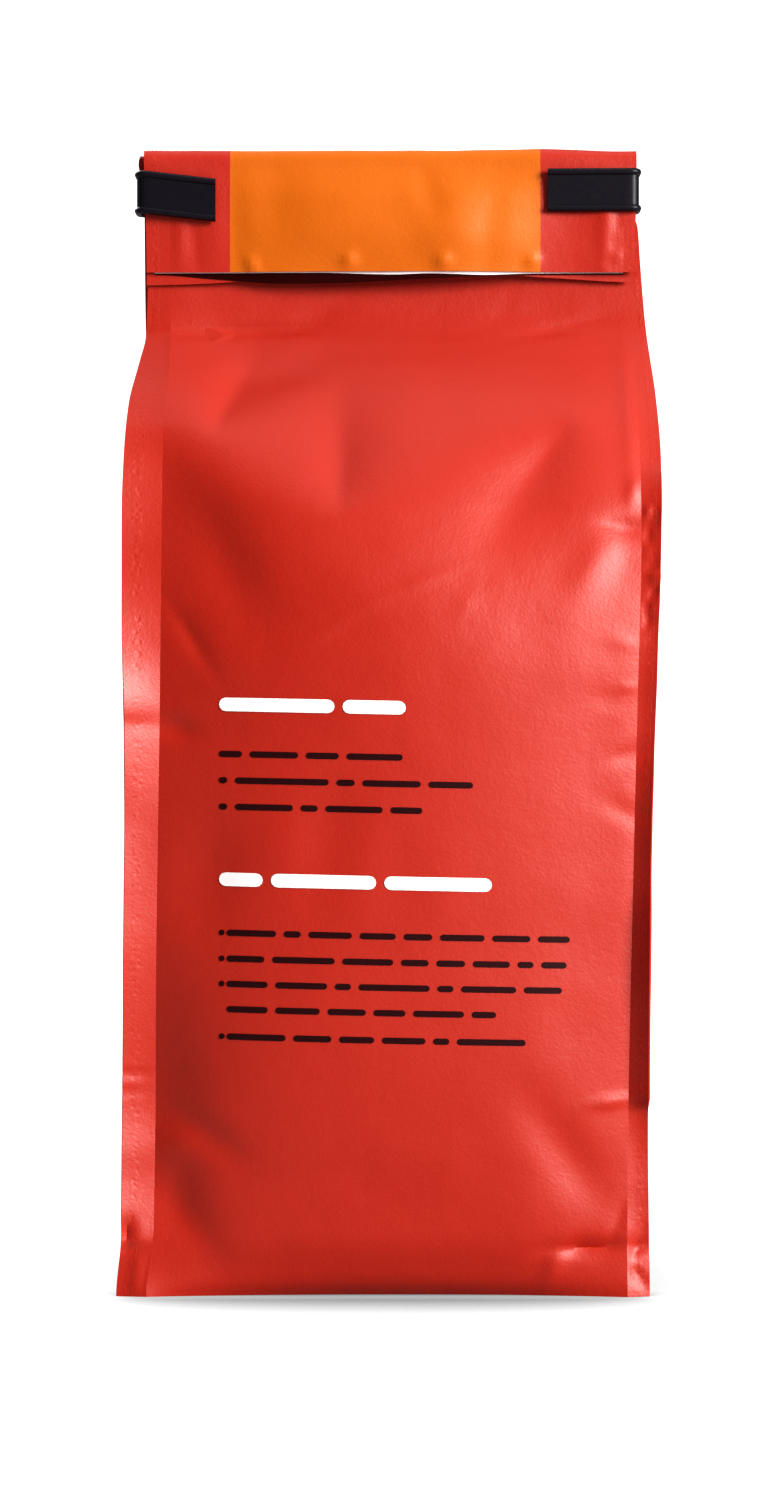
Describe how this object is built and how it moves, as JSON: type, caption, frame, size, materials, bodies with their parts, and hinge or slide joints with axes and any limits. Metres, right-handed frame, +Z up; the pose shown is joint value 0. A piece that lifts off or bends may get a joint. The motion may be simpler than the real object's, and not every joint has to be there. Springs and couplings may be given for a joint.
{
  "type": "coffee bag",
  "caption": "Filled side-gusseted coffee pouch with corner seal fins, its flat neck folded over into a flap and held by a bent tin tie.",
  "frame": {"origin": "centre of the bounding box on the plane that the bag stands on", "axes": "+Z up, -Y towards the viewer, out of the back panel that the flap is folded onto, +X to the viewer's right"},
  "size_m": [0.1044, 0.0752, 0.2218],
  "materials": {
    "bag_film": "matte laminated film, printed red with an orange band on the folded flap",
    "tie_plastic": "smooth black plastic over a wire in each long edge"
  },
  "bodies": {
    "root": {"bag": "bag_film", "tin_tie": "tie_plastic"}
  },
  "joints": []
}
